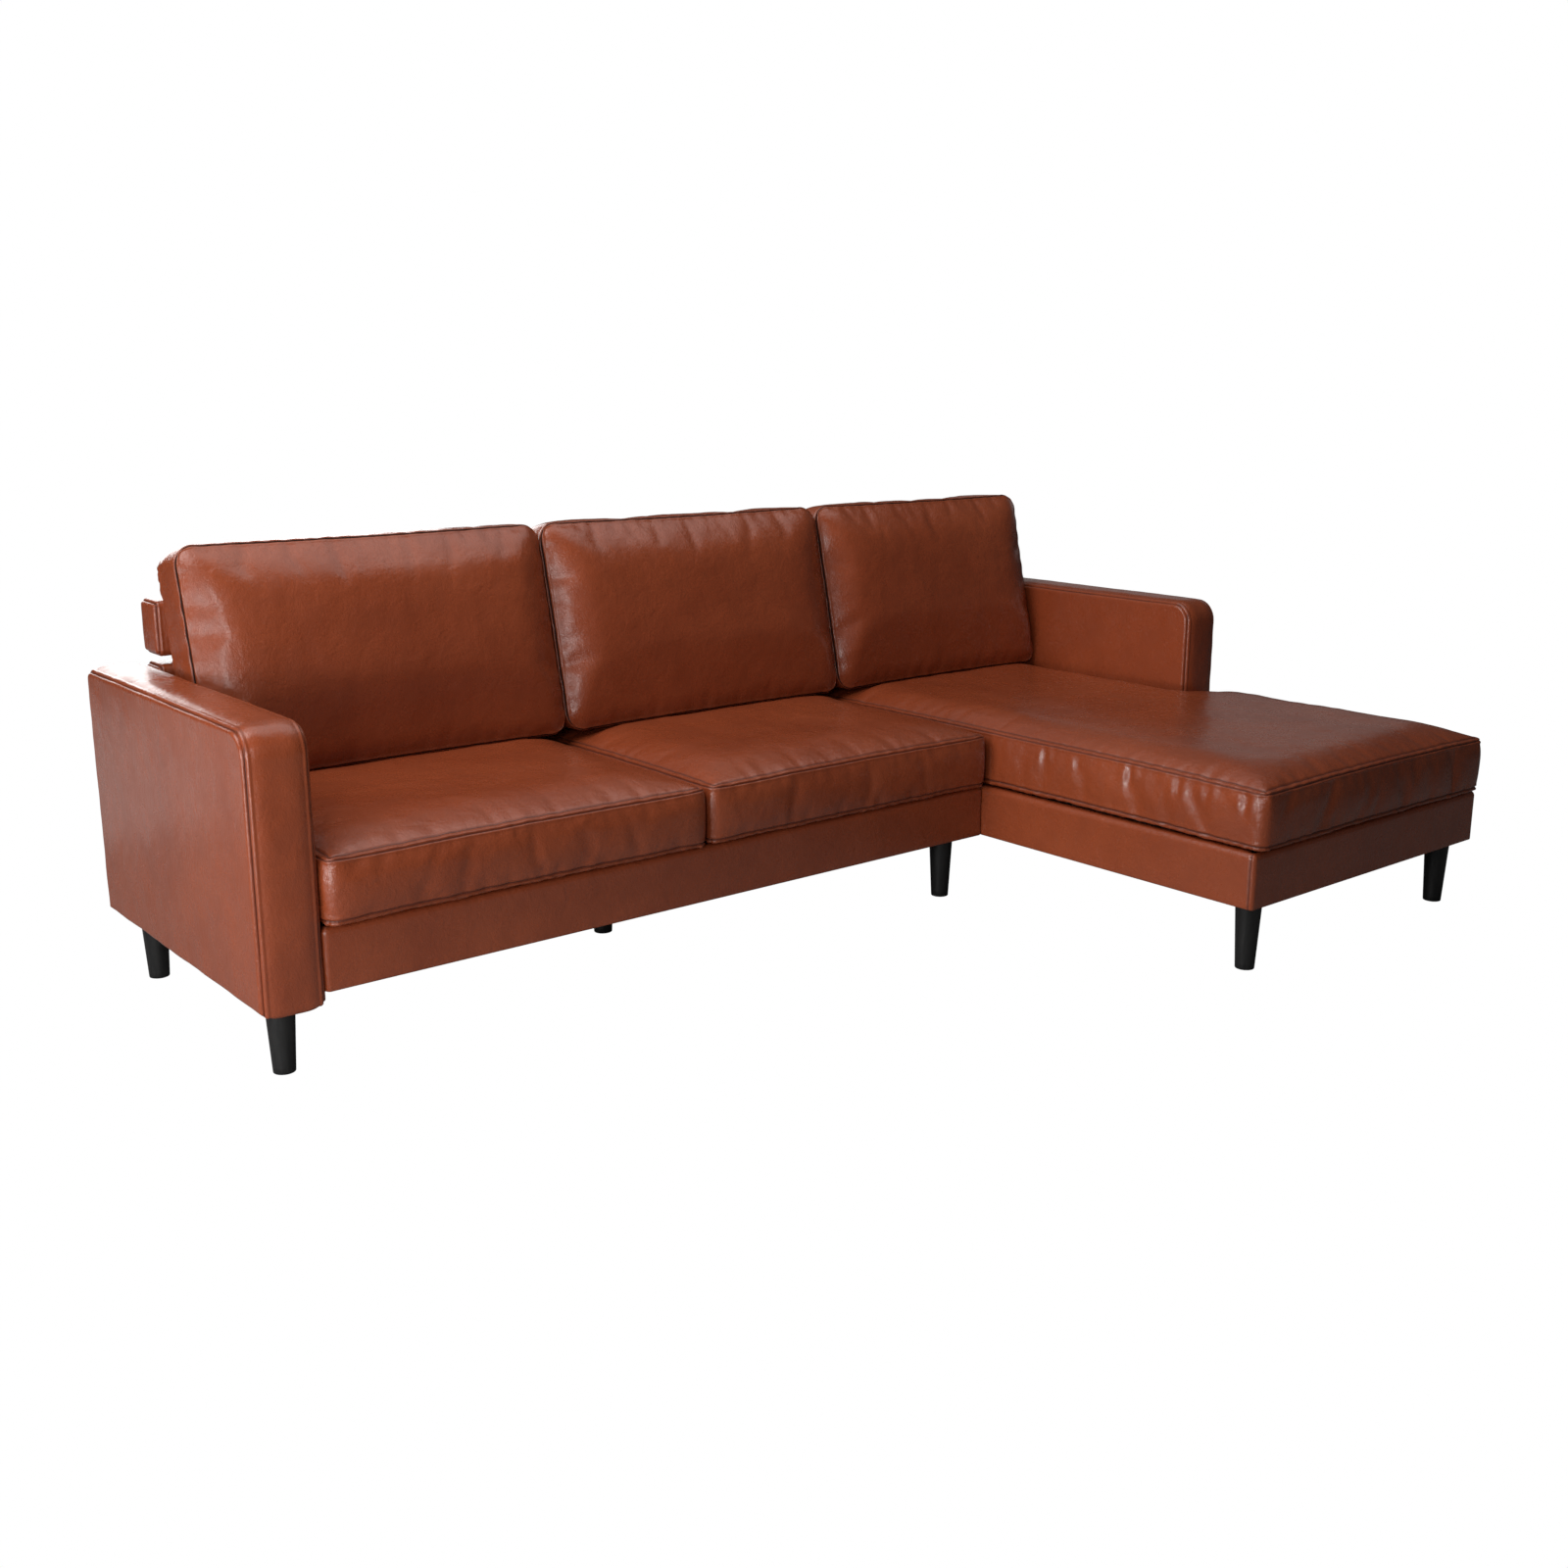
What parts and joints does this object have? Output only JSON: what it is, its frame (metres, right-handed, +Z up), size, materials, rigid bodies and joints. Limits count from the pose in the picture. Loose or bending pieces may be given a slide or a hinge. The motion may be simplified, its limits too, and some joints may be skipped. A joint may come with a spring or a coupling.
{
  "type": "chaise sofa",
  "caption": "Leather corner sofa with track arms, loose seat and back cushions, a long chaise seat and tapered black wooden legs.",
  "frame": {"origin": "on the floor, under the middle of the sofa's outline seen from above", "axes": "+X along the seats towards the chaise, which is on the right of someone facing the sofa; +Y towards the back; +Z up"},
  "size_m": [2.68, 1.6, 0.9],
  "materials": {
    "leather": "satin",
    "piping": "satin",
    "thread": "matte",
    "timber": "matte",
    "black_wood": "satin",
    "steel": "satin",
    "webbing": "matte",
    "dust_cloth": "matte",
    "foam": "matte"
  },
  "bodies": {
    "frame": {"back_cover": "leather", "back_post_centre": "timber", "back_post_left": "timber", "back_post_right": "timber", "back_top_rail": "timber", "chaise_base_back_rail": "timber", "chaise_base_cross_rail": "timber", "chaise_base_dust_cover": "dust_cloth", "chaise_base_front_cover": "leather", "chaise_base_front_rail": "timber", "chaise_base_left_cover": "leather", "chaise_base_left_rail": "timber", "chaise_base_rear_right_rail": "timber", "chaise_base_right_cover": "leather", "chaise_base_right_rail": "timber", "chaise_base_webbing": "webbing", "left_arm_back_post": "timber", "left_arm_bottom_rail": "timber", "left_arm_cover": "leather", "left_arm_front_post": "timber", "left_arm_top_rail": "timber", "leg_chaise_front_left": "black_wood", "leg_chaise_front_right": "black_wood", "leg_chaise_rear_left": "black_wood", "leg_inner_corner": "black_wood", "leg_left_arm_back": "black_wood", "leg_left_arm_front": "black_wood", "leg_right_arm_back": "black_wood", "leg_right_arm_front": "black_wood", "leg_seat_centre": "black_wood", "rest_rail_bracket_centre": "steel", "rest_rail_bracket_left": "steel", "rest_rail_bracket_right": "steel", "rest_rail_core": "timber", "rest_rail_cover": "leather", "right_arm_back_post": "timber", "right_arm_bottom_rail": "timber", "right_arm_cover": "leather", "right_arm_front_post": "timber", "right_arm_top_rail": "timber", "seat_base_back_rail": "timber", "seat_base_centre_rail": "timber", "seat_base_dust_cover": "dust_cloth", "seat_base_front_cover": "leather", "seat_base_front_rail": "timber", "seat_base_left_rail": "timber", "seat_base_right_rail": "timber", "seat_base_webbing": "webbing"},
    "seat_cushion_left": {"seat_cushion_left_cover": "leather", "seat_cushion_left_core": "foam"},
    "seat_cushion_middle": {"seat_cushion_middle_cover": "leather", "seat_cushion_middle_core": "foam"},
    "chaise_cushion": {"chaise_cushion_cover": "leather", "chaise_cushion_core": "foam"},
    "back_cushion_left": {"back_cushion_left_cover": "leather", "back_cushion_left_core": "foam"},
    "back_cushion_middle": {"back_cushion_middle_cover": "leather", "back_cushion_middle_core": "foam"},
    "back_cushion_right": {"back_cushion_right_cover": "leather", "back_cushion_right_core": "foam"}
  },
  "joints": [
    {"name": "seat_cushion_left_pull_out", "type": "slide", "parent": "frame", "child": "seat_cushion_left", "axis": [0, -1, 0], "range_m": [0, 0.76]},
    {"name": "seat_cushion_middle_pull_out", "type": "slide", "parent": "frame", "child": "seat_cushion_middle", "axis": [0, -1, 0], "range_m": [0, 0.76]},
    {"name": "chaise_cushion_pull_out", "type": "slide", "parent": "frame", "child": "chaise_cushion", "axis": [0, -1, 0], "range_m": [0, 0.76]},
    {"name": "back_cushion_left_lift_off", "type": "slide", "parent": "frame", "child": "back_cushion_left", "axis": [0, 0, 1], "range_m": [0, 0.46]},
    {"name": "back_cushion_middle_lift_off", "type": "slide", "parent": "frame", "child": "back_cushion_middle", "axis": [0, 0, 1], "range_m": [0, 0.46]},
    {"name": "back_cushion_right_lift_off", "type": "slide", "parent": "frame", "child": "back_cushion_right", "axis": [0, 0, 1], "range_m": [0, 0.46]}
  ]
}
